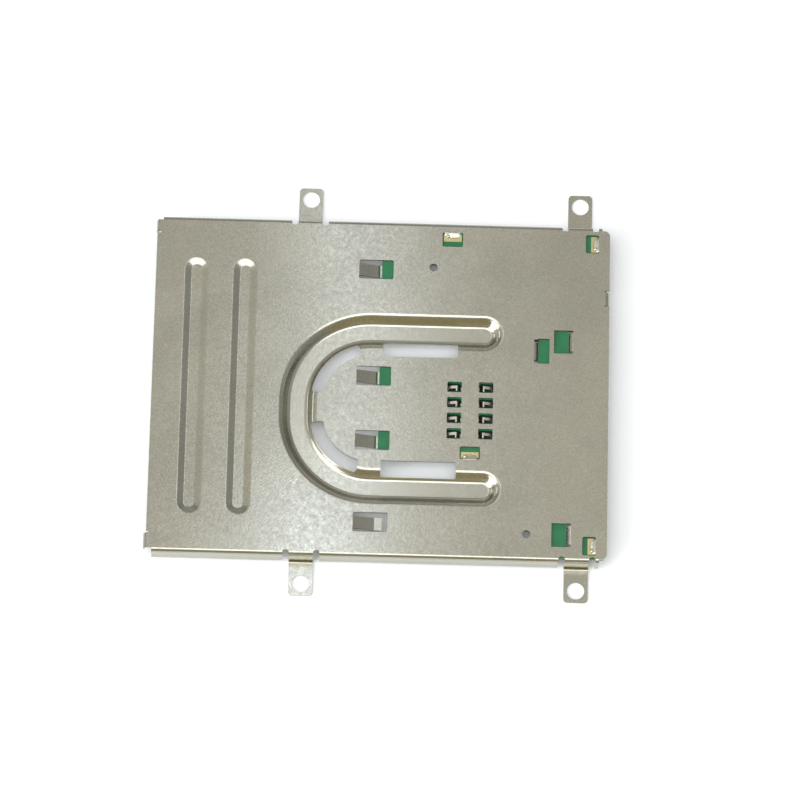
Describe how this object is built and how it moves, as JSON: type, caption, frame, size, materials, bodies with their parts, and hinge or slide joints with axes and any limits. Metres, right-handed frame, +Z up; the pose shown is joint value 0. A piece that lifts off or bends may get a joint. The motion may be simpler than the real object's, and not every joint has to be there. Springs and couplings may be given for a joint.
{
  "type": "card reader board",
  "caption": "Slim contact chip-card reader module: a stamped steel shield with screw ears and pressed beads over a green circuit board with spring contacts, a card switch and a flip-lock flex socket.",
  "frame": {"origin": "middle of the outline on the plane of the four screw ears, which is the plane the part rests on", "axes": "+X the way the card travels in, from the open entry to the closed end; +Y to the rear side wall; +Z up, out of the pressed plate"},
  "size_m": [0.0716, 0.067, 0.0038],
  "materials": {
    "shield": "satin stamped sheet",
    "board": "green solder mask",
    "gold": "gold-plated copper",
    "solder": "bright solder",
    "carrier": "moulded",
    "spring": "plated spring strip",
    "socket": "moulded",
    "latch": "moulded",
    "chip": "moulded package",
    "crystal": "metal lid",
    "capacitor": "fired ceramic",
    "resistor": "glazed ceramic"
  },
  "bodies": {
    "board": {"shield_cover": "shield", "circuit_board": "board", "ground_pads": "gold", "solder_rear": "solder", "solder_rear_corner": "solder", "solder_front_corner": "solder", "solder_middle": "solder", "contact_carrier": "carrier", "contact_c1": "spring", "contact_c2": "spring", "contact_c3": "spring", "contact_c4": "spring", "contact_c5": "spring", "contact_c6": "spring", "contact_c7": "spring", "contact_c8": "spring", "card_switch_body": "carrier", "card_switch_leaf": "spring", "card_switch_post": "spring", "flex_socket_body": "socket", "flex_socket_contacts": "spring", "flex_socket_anchors": "spring", "controller_chip": "chip", "controller_lands": "spring", "clock_crystal": "crystal", "capacitors": "capacitor", "resistors": "resistor"},
    "latch": {"flex_socket_latch": "latch"}
  },
  "joints": [
    {"name": "latch_flip", "type": "hinge", "parent": "board", "child": "latch", "pos_m": [0.0334, -0.0025, 0.00192], "axis": [0, 1, 0], "range_deg": [0, 90]}
  ]
}
